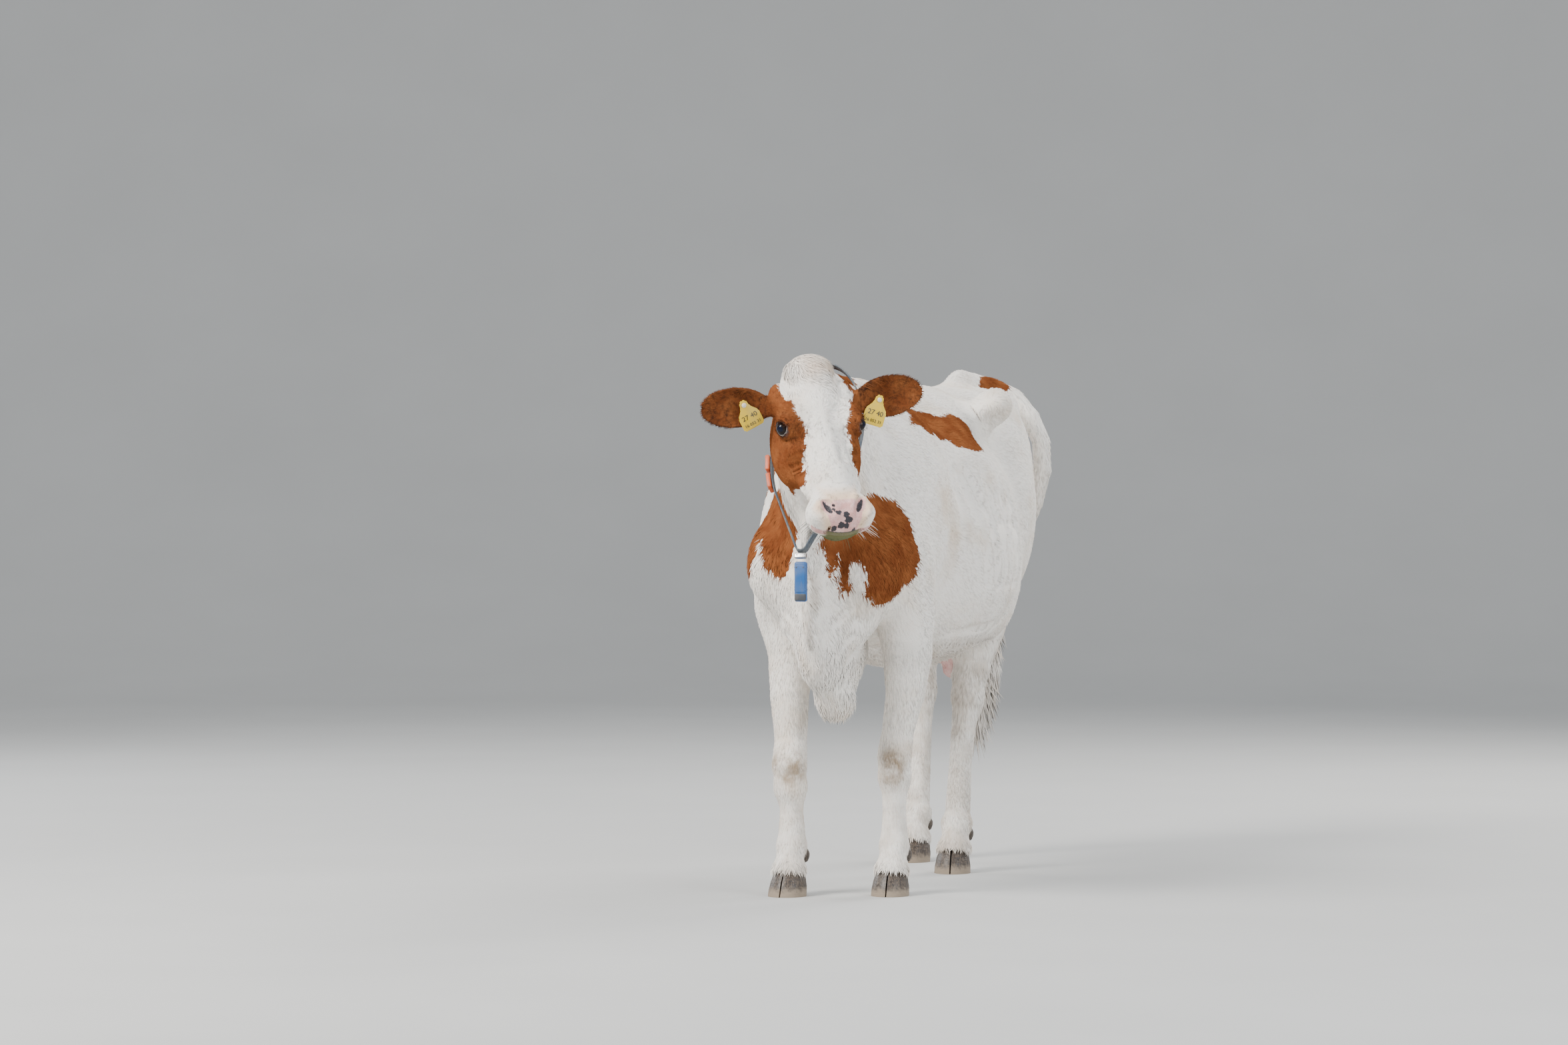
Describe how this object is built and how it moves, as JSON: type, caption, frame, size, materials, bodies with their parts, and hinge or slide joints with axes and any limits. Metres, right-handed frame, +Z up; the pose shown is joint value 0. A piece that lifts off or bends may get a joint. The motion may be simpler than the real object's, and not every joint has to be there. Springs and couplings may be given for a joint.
{
  "type": "cow",
  "caption": "Young red-and-white dairy cow as a still, life-size standing model, head raised and turned, with collar and ear tags",
  "frame": {"origin": "on the floor, under the middle of the model's box", "axes": "+Z up, the cow faces -Y, its left side is +X"},
  "size_m": [0.6266, 2.0554, 1.3875],
  "materials": {
    "hide": "short white summer coat over skin, with rust-brown patches, matt",
    "rust_hide": "short rust-brown coat, dark rim hair and pinkish inner skin, matt",
    "horn": "dark grey-brown hoof horn with fine rings, worn at the toe",
    "eye": "wet, blue-black eye with a pale sliver at its inner corner",
    "strap": "blue-grey woven collar strap, dusty",
    "clip": "dull steel weight clip",
    "transponder": "blue moulded transponder box, scuffed at its foot",
    "number_block": "orange-red moulded number blocks",
    "ear_tag": "yellow soft-plastic ear tag plates",
    "tag_stud": "off-white tag studs"
  },
  "bodies": {
    "root": {"claw_fore_left_a": "horn", "claw_fore_left_b": "horn", "claw_fore_right_a": "horn", "claw_fore_right_b": "horn", "claw_hind_left_a": "horn", "claw_hind_left_b": "horn", "claw_hind_right_a": "horn", "claw_hind_right_b": "horn", "collar_block_lower": "number_block", "collar_block_upper": "number_block", "collar_clip": "clip", "collar_strap": "strap", "collar_transponder": "transponder", "dewclaw_fore_left_a": "horn", "dewclaw_fore_left_b": "horn", "dewclaw_fore_right_a": "horn", "dewclaw_fore_right_b": "horn", "dewclaw_hind_left_a": "horn", "dewclaw_hind_left_b": "horn", "dewclaw_hind_right_a": "horn", "dewclaw_hind_right_b": "horn", "ear_left": "rust_hide", "ear_right": "rust_hide", "ear_tag_back_left": "ear_tag", "ear_tag_back_right": "ear_tag", "ear_tag_left": "ear_tag", "ear_tag_right": "ear_tag", "ear_tag_stem_left": "tag_stud", "ear_tag_stem_right": "tag_stud", "ear_tag_stud_left": "tag_stud", "ear_tag_stud_right": "tag_stud", "eye_left": "eye", "eye_right": "eye", "fore_shin_left": "hide", "fore_shin_right": "hide", "forearm_left": "hide", "forearm_right": "hide", "gaskin_left": "hide", "gaskin_right": "hide", "head": "hide", "hind_shin_left": "hide", "hind_shin_right": "hide", "neck": "hide", "tail": "hide", "trunk": "hide", "udder": "hide"}
  },
  "joints": []
}
